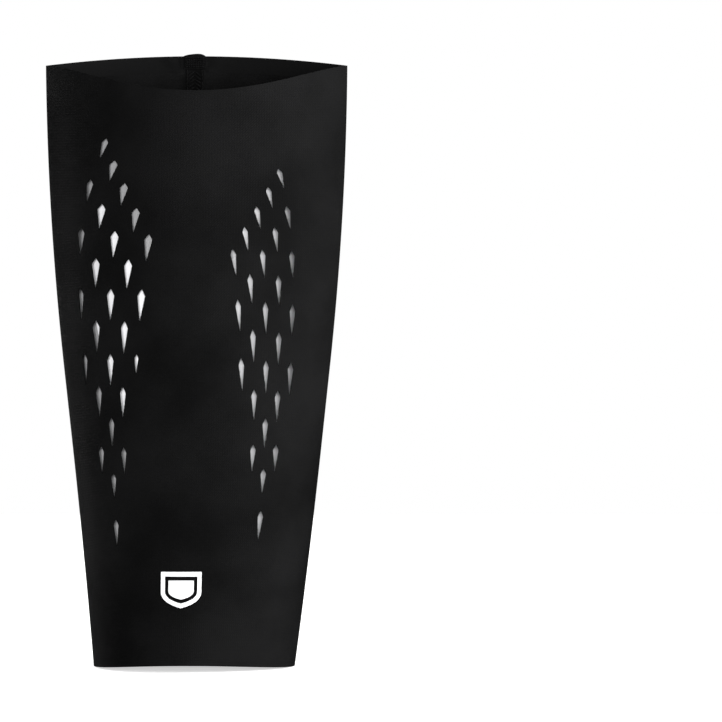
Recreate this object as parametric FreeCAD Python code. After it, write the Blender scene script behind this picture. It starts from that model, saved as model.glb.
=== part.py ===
import FreeCAD, Part
import math
import os

os.makedirs("parts", exist_ok=True)
V = FreeCAD.Vector

# Shin guard: a knitted compression sleeve with a rear seam, an inner pocket
# on the shin side and a curved hard plate that slides out of the pocket top.
# All sizes in mm. +Z up the leg, -Y is the front of the shin, +X is the right
# side seen from the front. The origin is under the middle of the sleeve, on
# the bottom hem.

# ---- driving sizes of the sleeve ----
HEIGHT = 300.0            # bottom hem to the top of the side folds
ANKLE_HALF = 50.4         # half width of the flat tube at the bottom hem
TAPER = 0.1075            # gain of half width per mm of height
CALF_START = 150.0        # above this height the widening slows down
CALF_EASE = 0.00033       # how fast the widening slows down
FRONT_DEPTH = 41.0        # side folds to the front of the shin
BACK_DEPTH_ANKLE = 14.0   # side folds to the back seam, bottom
BACK_DEPTH_TOP = 16.0     # side folds to the back seam, top
BACK_CALF_BULGE = 5.0     # extra depth half way up the back
WALL = 1.0                # knit thickness
FOLD_ROUND = 0.6          # softens the side folds
CROWN_X = -3.0            # the front ridge sits a little to the left
RIM_TILT = 0.30           # the top rim drops toward the front
SEAM_X = -1.5             # rear seam
SEAM_HALF = 4.6           # half width of the seam tape
BUTT_GAP = 0.4            # gap between the two joined fabric edges

# ---- driving sizes of the plate ----
PLATE_RADIUS = 68.0       # outer radius of the curved plate
PLATE_GAP = 0.8           # free space between knit and plate at the ridge
SHELL_T = 1.8
FOAM_T = 3.5
BACKING_T = 0.5
STRIPE_T = 0.1

# ---- driving sizes of the pocket ----
POCKET_BOTTOM = 34.0
POCKET_SEAM_TOP = 40.0
POCKET_MOUTH = 266.0
LINER_T = 0.6
LINER_RIDGE = 32.6        # side folds to the front face of the liner
LINER_ROUND = 0.15        # softens the ends of the liner curve
LINER_SIDE_PLAY = 1.0
SIDE_SEAM_W = 3.0

# ---- thin layers ----
FILM_T = 0.15
FILM_W = 8.0
TAPE_T = 0.35
THREAD_T = 0.5
TACK_T = 0.4
LABEL_T = 0.25
LABEL_THREAD_T = 0.3
BINDING_T = 0.5
GRIP_T = 0.6
EMBLEM_T = 0.2

# ---- reach of the cutting solids, well past the sleeve ----
WIDE = 120.0              # to the sides
REACH = 60.0              # to the front and to the back of the folds
ABOVE = 12.0              # over the side folds

# ---- how the sections are drawn ----
STATION_STEP = 25.0
STATIONS = [i * STATION_STEP for i in range(13)] + [HEIGHT + ABOVE]
CURVE_POINTS = 28
BACK_DEPTH_MAX = 20.2
FOLD_Y = (FRONT_DEPTH - BACK_DEPTH_MAX) / 2.0


def smooth(s):
    s = min(max(s, 0.0), 1.0)
    return s * s * (3.0 - 2.0 * s)


def half_width(z):
    return ANKLE_HALF + TAPER * z - CALF_EASE * max(0.0, z - CALF_START) ** 2


def pointedness(z):
    """Near 0.5 is a round section, 1 comes to sharp side folds."""
    return 0.48 + 0.55 * smooth((z - 50.0) / 220.0)


def back_depth(z):
    base = BACK_DEPTH_ANKLE + (BACK_DEPTH_TOP - BACK_DEPTH_ANKLE) * z / HEIGHT
    return base + BACK_CALF_BULGE * math.sin(math.pi * min(z, HEIGHT) / HEIGHT)


def arc_curve(half, depth, power, crown, z, side, rounding=FOLD_ROUND):
    """One half of a section, from the left fold to the right fold."""
    pts = []
    for i in range(CURVE_POINTS + 1):
        t = math.pi * (i / CURVE_POINTS - 0.5)
        c = max(math.cos(t), 0.0)
        x = half * math.sin(t) + crown * c * c
        rise = (depth - rounding) * c ** (2.0 * power) + rounding * c
        y = FOLD_Y + side * rise
        pts.append(V(x, y, z))
    pts[0] = V(-half, FOLD_Y, z)
    pts[-1] = V(half, FOLD_Y, z)
    curve = Part.BSplineCurve()
    shares = [i / CURVE_POINTS for i in range(CURVE_POINTS + 1)]
    curve.interpolate(Points=pts, Parameters=shares)
    return curve.toShape()


def inset_half(z, inset):
    """The knit is folded sharply at the sides, more so toward the top."""
    return half_width(z) - inset * (1.0 + z / HEIGHT)


_tubes = {}


def tube(inset):
    """Solid inside the sleeve surface moved inward by inset."""
    if inset not in _tubes:
        wires = []
        for z in STATIONS:
            a = inset_half(z, inset)
            front = arc_curve(a, FRONT_DEPTH - inset, pointedness(z), CROWN_X, z, -1.0)
            back = arc_curve(a, back_depth(z) - inset, pointedness(z), 0.0, z, 1.0)
            wires.append(Part.Wire([front, back]))
        _tubes[inset] = Part.makeLoft(wires, True, False)
    return _tubes[inset]


def box(x0, x1, y0, y1, z0, z1):
    return Part.makeBox(x1 - x0, y1 - y0, z1 - z0, V(x0, y0, z0))


def below_rim(drop):
    """Everything under a plane that runs parallel to the top rim."""
    y0 = FOLD_Y - WIDE
    y1 = FOLD_Y + WIDE
    z0 = HEIGHT - WIDE * RIM_TILT - drop
    z1 = HEIGHT + WIDE * RIM_TILT - drop
    corners = [V(-WIDE, y0, -20), V(-WIDE, y1, -20), V(-WIDE, y1, z1), V(-WIDE, y0, z0)]
    face = Part.Face(Part.makePolygon(corners + corners[:1]))
    return face.extrude(V(2 * WIDE, 0, 0))


def rim_slab(drop_top, drop_bottom):
    return below_rim(drop_top).cut(below_rim(drop_bottom))


def ring(outer, inner, zone):
    """Layer between two inset surfaces, kept only inside zone."""
    return tube(outer).cut(tube(inner)).common(zone)


def back_zone(x0, x1, z0, z1):
    return box(x0, x1, FOLD_Y, FOLD_Y + REACH, z0, z1)


def front_zone(x0, x1, z0, z1):
    return box(x0, x1, FOLD_Y - REACH, FOLD_Y, z0, z1)


def save(shape, name):
    shape.exportStep("parts/" + name + ".step")


# ---- air holes: two arrowhead groups of kite shaped cuts ----
ROWS = 14
COLUMNS = 2
KITE_SHOULDER = 0.22      # widest point, as a share of the kite length
TIP_STRETCH = 1.15        # the lowest kite of each group is longer
CORNER_SHRINK = 0.6       # one small kite at the inner low corner, left group
OUTER_NARROW = 0.82       # the outer column of the left group is narrower
ROW_TILT = 0.8            # step between neighbour columns of one row
TILT_START = 195.0        # left group: rows tilt above this height
TILT_RISE = 30.0
TILT_MIDDLE = 170.0       # right group: rows tilt about this height
TILT_SPAN = 40.0
SPREAD_START = 110.0      # columns spread out from this height up
SPREAD_RISE = 130.0
WIDTH_START = 100.0       # left group: cuts get wider from this height up
WIDTH_RISE = 120.0
BEND_ABOVE = 100.0        # height over which the top bend is measured
BEND_BELOW = 90.0


class KiteGroup:
    """side -1 is the left group, +1 the right group.

    The middle column runs at axis_x from the sleeve centre and bends toward
    it above and below bend_z: by top_bend at the top, by low_bend at the
    bottom. Rows are close at both ends and widest apart in the middle.
    """

    def __init__(self, side, top_z, pitch, pitch_gain, axis_x, bend_z):
        self.side = side
        self.top_z = top_z
        self.pitch_min = pitch
        self.pitch_gain = pitch_gain
        self.axis_x = axis_x
        self.bend_z = bend_z
        self.left = side < 0
        self.top_bend = 16.5 if self.left else 9.2
        self.low_bend = 2.9 if self.left else 4.0
        self.spread_low = 5.7 if self.left else 5.6
        self.spread_gain = 3.2 if self.left else 1.9
        self.width_low = 2.4 if self.left else 2.8
        self.width_gain = 1.6 if self.left else 0.0
        self.length_share = 1.0 if self.left else 1.12
        self.lean_share = 0.75 if self.left else 1.2

    def pitch(self, row):
        wave = math.sin(math.pi * (row + 0.2) / (ROWS + 1)) ** 2
        return self.pitch_min + self.pitch_gain * wave

    def row_z(self, row, column):
        z = self.top_z - sum(self.pitch(r) for r in range(row))
        if self.left:
            return z + ROW_TILT * column * smooth((z - TILT_START) / TILT_RISE)
        return z - ROW_TILT * column * math.exp(-((z - TILT_MIDDLE) / TILT_SPAN) ** 2)

    def spread(self, z):
        wider = smooth((z - SPREAD_START) / SPREAD_RISE)
        return self.spread_low + self.spread_gain * wider

    def axis(self, z):
        """Distance of the middle column from the sleeve centre."""
        rise = z - self.bend_z
        if rise > 0:
            return self.axis_x - self.top_bend * (rise / BEND_ABOVE) ** 3
        return self.axis_x - self.low_bend * (rise / BEND_BELOW) ** 2

    def column_x(self, column, z):
        """column 2 is the outermost one."""
        return self.side * (self.axis(z) + column * self.spread(z))

    def width(self, z):
        return self.width_low + self.width_gain * smooth((z - WIDTH_START) / WIDTH_RISE)

    def kites(self):
        """List of (top x, top z, tail x, tail z, width)."""
        out = []
        for column in range(-COLUMNS, COLUMNS + 1):
            first = COLUMNS - column
            last = ROWS - 3 * abs(column)
            for row in range(first, last + 1, 2):
                z = self.row_z(row, column)
                length = self.pitch(row) * self.length_share
                w = self.width(z)
                if row == ROWS:
                    length *= TIP_STRETCH
                if self.left and row == last and column == -COLUMNS:
                    length *= CORNER_SHRINK
                    w *= CORNER_SHRINK
                if self.left and column == COLUMNS:
                    w *= OUTER_NARROW
                x = self.column_x(column, z)
                lean = self.lean_share * (self.column_x(column, z - length) - x)
                out.append((x, z, x + lean, z - length, w))
        return out


def kite_prism(kite):
    x0, z0, x1, z1, w = kite
    sx = x0 + (x1 - x0) * KITE_SHOULDER
    sz = z0 + (z1 - z0) * KITE_SHOULDER
    y = FOLD_Y - REACH
    pts = [V(x0, y, z0), V(sx + w / 2, y, sz), V(x1, y, z1), V(sx - w / 2, y, sz)]
    face = Part.Face(Part.makePolygon(pts + pts[:1]))
    return face.extrude(V(0, REACH, 0))


LEFT_KITES = KiteGroup(-1, 262.3, 10.0, 6.3, 42.2, 165.0)
RIGHT_KITES = KiteGroup(1, 249.1, 9.1, 5.6, 35.0, 150.0)


# ---- sleeve ----
def sleeve_panel():
    """One knitted panel, wrapped round and butted at the back seam."""
    panel = ring(0.0, WALL, below_rim(0.0))
    cuts = [kite_prism(k) for k in LEFT_KITES.kites() + RIGHT_KITES.kites()]
    half = BUTT_GAP / 2.0
    cuts.append(back_zone(SEAM_X - half, SEAM_X + half, -5.0, HEIGHT + 20.0))
    return panel.cut(Part.makeCompound(cuts))


def seam_tape():
    zone = back_zone(SEAM_X - SEAM_HALF, SEAM_X + SEAM_HALF, 0.0, HEIGHT + 20.0)
    return ring(WALL, WALL + TAPE_T, below_rim(0.0).common(zone))


# ---- seam threads and the folded seam ends ----
SEAM_INSIDE = WALL + TAPE_T
FOLD_INSIDE = 2.2         # inner face of the folded seam ends
FOLD_HALF = 5.5
FOLD_RISE = 1.5           # the top fold stands this far over the rim
FOLD_LENGTH = 6.0
FOLD_H = 7.0              # threads start above the bottom fold
THREAD_END = HEIGHT - 3.0
RAIL_OFFSET = 3.6
RAIL_HALF = 0.6
ZIGZAG_PITCH = 7.5
ZIGZAG_HALF = 2.6
ZIGZAG_W = 0.9
ZIGZAG_T = 0.4
COVER_HALF = 2.5
COVER_T = 0.2
TACK_HALF = 5.0
TACK_W = 0.8
TACK_STEPS = (1.0, 2.6, 4.2)


def seam_rail(side):
    """Looper thread that runs along one edge of the seam tape."""
    mid = SEAM_X + side * RAIL_OFFSET
    zone = back_zone(mid - RAIL_HALF, mid + RAIL_HALF, FOLD_H, THREAD_END)
    return ring(SEAM_INSIDE, SEAM_INSIDE + THREAD_T, zone)


def zigzag_prism():
    """Flat zigzag band, seen from behind, pushed through the back wall."""
    count = int((THREAD_END - FOLD_H) / ZIGZAG_PITCH)
    left = []
    right = []
    for i in range(count + 1):
        x = SEAM_X + (ZIGZAG_HALF if i % 2 else -ZIGZAG_HALF)
        z = FOLD_H + i * ZIGZAG_PITCH
        left.append(V(x - ZIGZAG_W / 2, FOLD_Y, z))
        right.append(V(x + ZIGZAG_W / 2, FOLD_Y, z))
    outline = left + right[::-1]
    face = Part.Face(Part.makePolygon(outline + outline[:1]))
    return face.extrude(V(0, REACH, 0))


def seam_zigzag():
    return ring(SEAM_INSIDE, SEAM_INSIDE + ZIGZAG_T, zigzag_prism())


def seam_outer_thread():
    """Flat cover stitch on the outside of the butted edges."""
    zone = back_zone(SEAM_X - COVER_HALF, SEAM_X + COVER_HALF, 2.0, HEIGHT)
    return ring(-COVER_T, 0.0, zone)


def seam_top_fold():
    """Seam end folded over the rim and turned back inside."""
    zone = back_zone(SEAM_X - FOLD_HALF, SEAM_X + FOLD_HALF, HEIGHT - 20.0, HEIGHT + ABOVE)
    inside = ring(SEAM_INSIDE, FOLD_INSIDE, rim_slab(0.0, FOLD_LENGTH).common(zone))
    cap = ring(0.0, FOLD_INSIDE, rim_slab(-FOLD_RISE, 0.0).common(zone))
    return inside.fuse(cap).removeSplitter()


def seam_bottom_fold():
    zone = back_zone(SEAM_X - FOLD_HALF, SEAM_X + FOLD_HALF, 0.0, FOLD_LENGTH)
    return ring(SEAM_INSIDE, FOLD_INSIDE, zone)


def bartack(zone_list):
    bars = [ring(FOLD_INSIDE, FOLD_INSIDE + TACK_T, z) for z in zone_list]
    return Part.makeCompound(bars)


def top_bartack():
    zone = back_zone(SEAM_X - TACK_HALF, SEAM_X + TACK_HALF, HEIGHT - 20.0, HEIGHT + ABOVE)
    return bartack([rim_slab(d, d + TACK_W).common(zone) for d in TACK_STEPS])


def bottom_bartack():
    x0 = SEAM_X - TACK_HALF
    x1 = SEAM_X + TACK_HALF
    return bartack([back_zone(x0, x1, z, z + TACK_W) for z in TACK_STEPS])


def hem_film(zone):
    """Bonded film that stops the cut edge from fraying; open at the seam."""
    film = ring(WALL, WALL + FILM_T, zone)
    seam = back_zone(SEAM_X - SEAM_HALF - 1.0, SEAM_X + SEAM_HALF + 1.0, -5.0, HEIGHT + 20.0)
    return film.cut(seam)


def top_hem_film():
    return hem_film(rim_slab(0.0, FILM_W))


def bottom_hem_film():
    return hem_film(box(-WIDE, WIDE, -WIDE, WIDE, 0.0, FILM_W))


GRIP_DROPS = (24.0, 29.0, 34.0)
GRIP_W = 2.2
GRIP_REACH = 52.0
GRIP_SEAM_CLEAR = 8.0


def grip_stripes():
    """Silicone lines inside the back half, below the hem film."""
    lines = []
    spans = ((-GRIP_REACH, SEAM_X - GRIP_SEAM_CLEAR), (SEAM_X + GRIP_SEAM_CLEAR, GRIP_REACH))
    for drop in GRIP_DROPS:
        slab = rim_slab(drop, drop + GRIP_W)
        for x0, x1 in spans:
            zone = slab.common(back_zone(x0, x1, HEIGHT - REACH, HEIGHT + ABOVE))
            lines.append(ring(WALL, WALL + GRIP_T, zone))
    return Part.makeCompound(lines)


def shield_prism(cx, cz, w, h):
    """Plain heater shield, point down."""
    y = FOLD_Y - REACH
    half = w / 2.0
    top = cz + h / 2.0
    low = cz - h / 2.0
    waist = cz - h * 0.05
    left = Part.BezierCurve()
    left.setPoles([V(cx - half, y, waist), V(cx - half, y, cz - h * 0.35), V(cx, y, low)])
    right = Part.BezierCurve()
    right.setPoles([V(cx, y, low), V(cx + half, y, cz - h * 0.35), V(cx + half, y, waist)])
    edges = [left.toShape(), right.toShape()]
    edges.append(Part.makeLine(V(cx + half, y, waist), V(cx + half, y, top)))
    edges.append(Part.makeLine(V(cx + half, y, top), V(cx - half, y, top)))
    edges.append(Part.makeLine(V(cx - half, y, top), V(cx - half, y, waist)))
    return Part.Face(Part.Wire(edges)).extrude(V(0, REACH, 0))


EMBLEM_X = -6.3
EMBLEM_Z = 41.0
EMBLEM_W = 20.0
EMBLEM_H = 18.0


def emblem_transfer():
    """Heat pressed plain shield on the outside, low on the shin."""
    mark = shield_prism(EMBLEM_X, EMBLEM_Z, EMBLEM_W, EMBLEM_H)
    bar = shield_prism(EMBLEM_X, EMBLEM_Z, EMBLEM_W - 4.0, EMBLEM_H - 4.6)
    core = shield_prism(EMBLEM_X, EMBLEM_Z, EMBLEM_W - 7.5, EMBLEM_H - 8.6)
    return ring(-EMBLEM_T, 0.0, mark.cut(bar).fuse(core))


LABEL_X0 = 18.0
LABEL_X1 = 36.0
LABEL_Z0 = 222.0
LABEL_Z1 = 252.0


def care_label():
    zone = back_zone(LABEL_X0, LABEL_X1, LABEL_Z0, LABEL_Z1)
    return ring(WALL, WALL + LABEL_T, zone)


def label_stitch():
    zone = back_zone(LABEL_X0 + 1.0, LABEL_X1 - 1.0, LABEL_Z1 - 2.6, LABEL_Z1 - 1.8)
    return ring(WALL + LABEL_T, WALL + LABEL_T + LABEL_THREAD_T, zone)


# ---- pocket on the inside of the shin ----
def liner_shape(z):
    """Half width, depth and bell power of the liner front face."""
    start = smooth((z - POCKET_BOTTOM) / 12.0)
    near = FRONT_DEPTH - WALL - 1.0
    depth = near + (LINER_RIDGE - near) * start
    power = 0.5 + 0.42 * smooth((z - POCKET_BOTTOM) / 14.0)
    power += 2.6 * smooth((z - 48.0) / 215.0)
    return inset_half(z, WALL) - LINER_SIDE_PLAY, depth, power


def behind_liner(shift):
    """Solid with the liner front face as its front, moved back by shift."""
    wires = []
    stations = [POCKET_BOTTOM + 4.0 * i for i in range(7)]
    stations += [75.0 + 25.0 * i for i in range(8)] + [POCKET_MOUTH]
    for z in stations:
        a, depth, power = liner_shape(z)
        front = arc_curve(a, depth, power, CROWN_X, z, -1.0, LINER_ROUND)
        front.translate(V(0, shift, 0))
        y0 = FOLD_Y + shift
        y1 = FOLD_Y + 3.0
        right = Part.makeLine(V(a, y0, z), V(a, y1, z))
        rear = Part.makeLine(V(a, y1, z), V(-a, y1, z))
        left = Part.makeLine(V(-a, y1, z), V(-a, y0, z))
        wires.append(Part.Wire([front, right, rear, left]))
    return Part.makeLoft(wires, True, False)


def pocket_liner():
    keep = front_zone(-WIDE, WIDE, POCKET_BOTTOM, POCKET_MOUTH)
    keep.translate(V(0, LINER_T, 0))
    return behind_liner(0.0).cut(behind_liner(LINER_T)).common(keep)


def pocket_space():
    """Room between the sleeve wall and the liner."""
    zone = front_zone(-WIDE, WIDE, POCKET_BOTTOM, POCKET_MOUTH)
    return tube(WALL).common(zone).cut(behind_liner(0.0))


def pocket_side_seam(side):
    """Seam allowance that joins the liner to the side fold."""
    wires = []
    y0 = FOLD_Y - 30.0
    y1 = FOLD_Y
    for z in (POCKET_BOTTOM, 100.0, 150.0, 200.0, 250.0, POCKET_MOUTH):
        x0 = side * (inset_half(z, WALL) - LINER_SIDE_PLAY - SIDE_SEAM_W)
        x1 = side * 100.0
        pts = [V(x0, y0, z), V(x1, y0, z), V(x1, y1, z), V(x0, y1, z)]
        wires.append(Part.makePolygon(pts + pts[:1]))
    return pocket_space().common(Part.makeLoft(wires, True, True))


def pocket_bottom_seam():
    zone = front_zone(-WIDE, WIDE, POCKET_BOTTOM, POCKET_SEAM_TOP)
    seam = pocket_space().common(zone)
    for side in (-1.0, 1.0):
        x0 = inset_half(POCKET_SEAM_TOP, WALL) - LINER_SIDE_PLAY - SIDE_SEAM_W - 0.6
        end = front_zone(x0, WIDE, 0, 100)
        if side < 0:
            end = front_zone(-WIDE, -x0, 0, 100)
        seam = seam.cut(end)
    return seam


BINDING_W = 8.0
BINDING_REACH = 60.0


def mouth_binding():
    """Elastic tape on the leg side of the liner, along the pocket mouth."""
    top = POCKET_MOUTH - 1.0
    keep = front_zone(-BINDING_REACH, BINDING_REACH, top - BINDING_W, top)
    keep.translate(V(0, LINER_T, 0))
    return behind_liner(LINER_T).cut(behind_liner(LINER_T + BINDING_T)).common(keep)


# ---- hard plate ----
PLATE_Y = FOLD_Y - (FRONT_DEPTH - WALL - PLATE_GAP) + PLATE_RADIUS
PLATE_EDGE = [
    (26.0, 48.0), (35.5, 53.5), (40.5, 62.0), (44.0, 80.0), (48.5, 110.0),
    (54.0, 150.0), (57.2, 190.0), (58.0, 220.0), (56.5, 250.0), (52.5, 264.0),
    (46.0, 272.0), (34.0, 276.5),
]
PLATE_TOP = 278.5


def plate_outline_prism(inset, radius=PLATE_RADIUS):
    """Shield outline pushed through along Y, narrower for inner layers."""
    y = FOLD_Y - REACH
    low = PLATE_EDGE[0][1] + inset
    high = PLATE_EDGE[-1][1] - inset
    span = PLATE_EDGE[-1][1] - PLATE_EDGE[0][1]
    side_pts = []
    for w, z in PLATE_EDGE:
        height = low + (z - PLATE_EDGE[0][1]) * (high - low) / span
        side_pts.append(((w - inset) * radius / PLATE_RADIUS, height))
    right = Part.BSplineCurve()
    right.interpolate([V(CROWN_X + w, y, z) for w, z in side_pts])
    left = Part.BSplineCurve()
    left.interpolate([V(CROWN_X - w, y, z) for w, z in side_pts])
    wr, zr = side_pts[-1]
    wb, zb = side_pts[0]
    mid = V(CROWN_X, y, PLATE_TOP - inset)
    top = Part.Arc(V(CROWN_X + wr, y, zr), mid, V(CROWN_X - wr, y, zr)).toShape()
    low_edge = Part.makeLine(V(CROWN_X - wb, y, zb), V(CROWN_X + wb, y, zb))
    wire = Part.Wire([low_edge, right.toShape(), top, left.toShape()])
    return Part.Face(wire).extrude(V(0, PLATE_DEEP, 0))


def curved_layer(depth, thickness, inset):
    """Radial layer of the plate, starting depth below its outer face."""
    radius = PLATE_RADIUS - depth
    outline = plate_outline_prism(inset, radius)
    base = V(CROWN_X, PLATE_Y, 0.0)
    drum = Part.makeCylinder(radius, 400.0, base, V(0, 0, 1))
    skin = [f for f in drum.Faces if f.Surface.TypeId == "Part::GeomCylinder"][0]
    patch = skin.common(outline).Faces[0]
    return patch.makeOffsetShape(-thickness, 0.001, fill=True)


VENT_ROWS = 7
VENT_W = 3.0
VENT_H = 12.0
VENT_START = 84.0
VENT_STEP = 26.0
FOAM_INSET = 1.0
BACKING_INSET = 1.5
PLATE_DEEP = 90.0         # cutting depth for the plate outline


def plate_vents():
    """Slots down the middle of the plate that let sweat out."""
    slots = []
    for i in range(VENT_ROWS):
        z = VENT_START + i * VENT_STEP
        slots.append(box(CROWN_X - VENT_W / 2, CROWN_X + VENT_W / 2,
                         FOLD_Y - REACH, FOLD_Y, z, z + VENT_H))
    return Part.makeCompound(slots)


def plate_shell():
    return curved_layer(0.0, SHELL_T, 0.0).cut(plate_vents())


def plate_foam():
    return curved_layer(SHELL_T, FOAM_T, FOAM_INSET).cut(plate_vents())


def plate_backing():
    return curved_layer(SHELL_T + FOAM_T, BACKING_T, BACKING_INSET)


def plate_stripe():
    """Printed diagonal band on the front of the plate."""
    y = FOLD_Y - REACH
    corners = [(-50, 238), (-36, 222), (-22, 186), (-24, 140), (-36, 118), (-45, 150), (-54, 196)]
    pts = [V(x, y, z) for x, z in corners]
    band = Part.Face(Part.makePolygon(pts + pts[:1])).extrude(V(0, PLATE_DEEP, 0))
    zone = plate_outline_prism(2.0).common(band)
    radius = PLATE_RADIUS + STRIPE_T
    base = V(CROWN_X, PLATE_Y, 0.0)
    drum = Part.makeCylinder(radius, 400.0, base, V(0, 0, 1))
    core = Part.makeCylinder(PLATE_RADIUS, 400.0, base, V(0, 0, 1))
    return drum.cut(core).common(zone).common(front_zone(-WIDE, WIDE, 0, HEIGHT))


save(sleeve_panel(), "sleeve_panel")
save(seam_tape(), "seam_tape")
save(seam_rail(-1.0), "seam_rail_thread_left")
save(seam_rail(1.0), "seam_rail_thread_right")
save(seam_zigzag(), "seam_zigzag_thread")
save(seam_outer_thread(), "seam_outer_thread")
save(seam_top_fold(), "seam_top_fold")
save(seam_bottom_fold(), "seam_bottom_fold")
save(top_bartack(), "top_bartack")
save(bottom_bartack(), "bottom_bartack")
save(top_hem_film(), "top_hem_film")
save(bottom_hem_film(), "bottom_hem_film")
save(grip_stripes(), "grip_stripes")
save(emblem_transfer(), "emblem_transfer")
save(care_label(), "care_label")
save(label_stitch(), "label_stitch")
save(pocket_liner(), "pocket_liner")
save(pocket_side_seam(-1.0), "pocket_side_seam_left")
save(pocket_side_seam(1.0), "pocket_side_seam_right")
save(pocket_bottom_seam(), "pocket_bottom_seam")
save(mouth_binding(), "pocket_mouth_binding")
save(plate_shell(), "plate_shell")
save(plate_foam(), "plate_foam")
save(plate_backing(), "plate_backing")
save(plate_stripe(), "plate_stripe")
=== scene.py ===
import math

import bpy
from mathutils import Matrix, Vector, noise
from mathutils.geometry import delaunay_2d_cdt


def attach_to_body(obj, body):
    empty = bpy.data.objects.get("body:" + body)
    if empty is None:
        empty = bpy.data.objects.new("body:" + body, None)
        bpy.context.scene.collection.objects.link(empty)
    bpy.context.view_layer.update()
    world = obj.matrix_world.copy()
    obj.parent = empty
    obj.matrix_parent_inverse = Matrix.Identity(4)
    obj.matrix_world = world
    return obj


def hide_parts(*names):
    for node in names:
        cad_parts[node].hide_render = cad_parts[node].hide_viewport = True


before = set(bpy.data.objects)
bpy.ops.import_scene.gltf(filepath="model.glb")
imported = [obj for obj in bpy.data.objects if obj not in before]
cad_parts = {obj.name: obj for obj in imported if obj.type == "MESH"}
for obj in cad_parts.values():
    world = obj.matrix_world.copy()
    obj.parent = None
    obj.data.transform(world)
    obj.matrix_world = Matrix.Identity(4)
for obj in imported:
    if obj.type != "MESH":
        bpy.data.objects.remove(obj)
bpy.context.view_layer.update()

# Shin guard looks. The section formulas and the rules for the air cuts repeat the
# ones in part.py. Lengths are in mm; mm() and MM turn them into metres.
MM = 0.001                # one mm in metres

# Sleeve
HEIGHT = 300.0            # bottom hem to the top of the side folds
ANKLE_HALF = 50.4         # half width of the flat tube at the bottom hem
TAPER = 0.1075            # gain of half width per mm of height
CALF_START = 150.0        # above this height the widening slows down
CALF_EASE = 0.00033       # how fast the widening slows down
FRONT_DEPTH = 41.0        # side folds to the front of the shin
BACK_DEPTH_ANKLE = 14.0   # side folds to the back seam, bottom
BACK_DEPTH_TOP = 16.0     # side folds to the back seam, top
BACK_CALF_BULGE = 5.0     # extra depth half way up the back
WALL = 1.0                # knit thickness
FOLD_ROUND = 0.6          # softens the side folds
FOLD_Y = 10.4             # where the side folds lie, front to back
CROWN_X = -3.0            # the front ridge sits a little to the left
POINTED_LOW = 0.48        # how pointed the front is at the bottom
POINTED_GAIN = 0.55       # how much more pointed it is at the top
POINTED_START = 50.0
POINTED_RISE = 220.0
ANKLE_LEAN = -1.5         # the bottom hem leans to the left
ANKLE_LEAN_REACH = 110.0  # height at which the lean has gone
HEM_RISE_FRONT = 3.3      # the hem is higher between the side folds
HEM_RISE_BACK = 0.9
HEM_RISE_REACH = 30.0
RIM_TILT = 0.30           # the top rim drops toward the front
RIM_SHIFT = 4.0           # the rim is lowest this far right of the ridge
RIM_POWER = 1.45          # shape of the dip
SEAM_X = -1.5             # rear seam
SEAM_EDGE_LOW = 0.034     # radians past -pi at which the knit panel starts
SEAM_EDGE_HIGH = 0.020    # radians past pi at which it ends
NEAR_FOLD = 62.0          # degrees from the ridge; cuts go straight back up to here
NEAR_FOLD_FADE = 20.0
SOLVE_STEPS = 24          # rounds used to find an angle from x
SINE_LIMIT = 0.999

# Knit over the plate: stretched thin, fading out round the plate
THIN_SHARE = 0.55         # share of the wall given up outside
THIN_CLOSER = 0.15        # the inner face lies this much closer to the plate
THIN_SIDE = 0.12          # cosine of the angle at which it has faded out
THIN_SIDE_FADE = 0.34
THIN_LOW = 52.0
THIN_HIGH = 284.0
THIN_FADE = 14.0

# Dents of the front knit. An "up" dent follows x - slant * (z - origin), a
# "level" one z - slant * (x - origin). Depth is positive inward.
FRONT_DENTS = [
    # runs, depth, middle, half width, slant, origin, half way along, half length
    ("up", 0.65, 37.0, 4.0, 0.6, 247.0, 249.0, 15.0),
    ("up", -0.7, 26.0, 5.0, 0.6, 247.0, 249.0, 17.0),
    ("level", -1.5, 210.0, 8.0, 0.55, 60.0, 62.0, 9.0),
    ("up", -0.9, 56.0, 3.5, 0.0, 0.0, 155.0, 28.0),
    ("level", 1.3, 36.0, 5.0, 0.35, 45.0, 45.0, 10.0),
]
# Slow waves of the knit: depth, noise scale across and up per mm, and a seed.
FRONT_DRAPE = (0.40, 0.035, 0.016, 3.0)
FRONT_RIPPLE = (0.12, 0.08, 0.05, 6.0)
BACK_DRAPE = (0.35, 0.03, 0.014, 9.0)
RIPPLE_LEFT = -10.0       # the ripple fades out to the left of here
RIPPLE_FADE = 20.0
FOLD_FADE = 0.3           # cosine of the angle below which dents fade out
# Back knit: the pucker along the seam, and a dent on each side of the bartack.
PUCKER_DEPTH = 0.35
PUCKER_TURN = 0.85        # radians per mm of height
PUCKER_REACH = 11.0
PUCKER_CLEAR = 5.0        # it fades out this close to the seam
TACK_DENT = 0.8
TACK_DENT_OUT = 6.5       # distance from the seam at TACK_DENT_Z
TACK_DENT_Z = 296.0
TACK_DENT_SLANT = 0.7
TACK_DENT_W = 3.2
TACK_DENT_LOW = 284.0
TACK_DENT_FADE = 12.0

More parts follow.
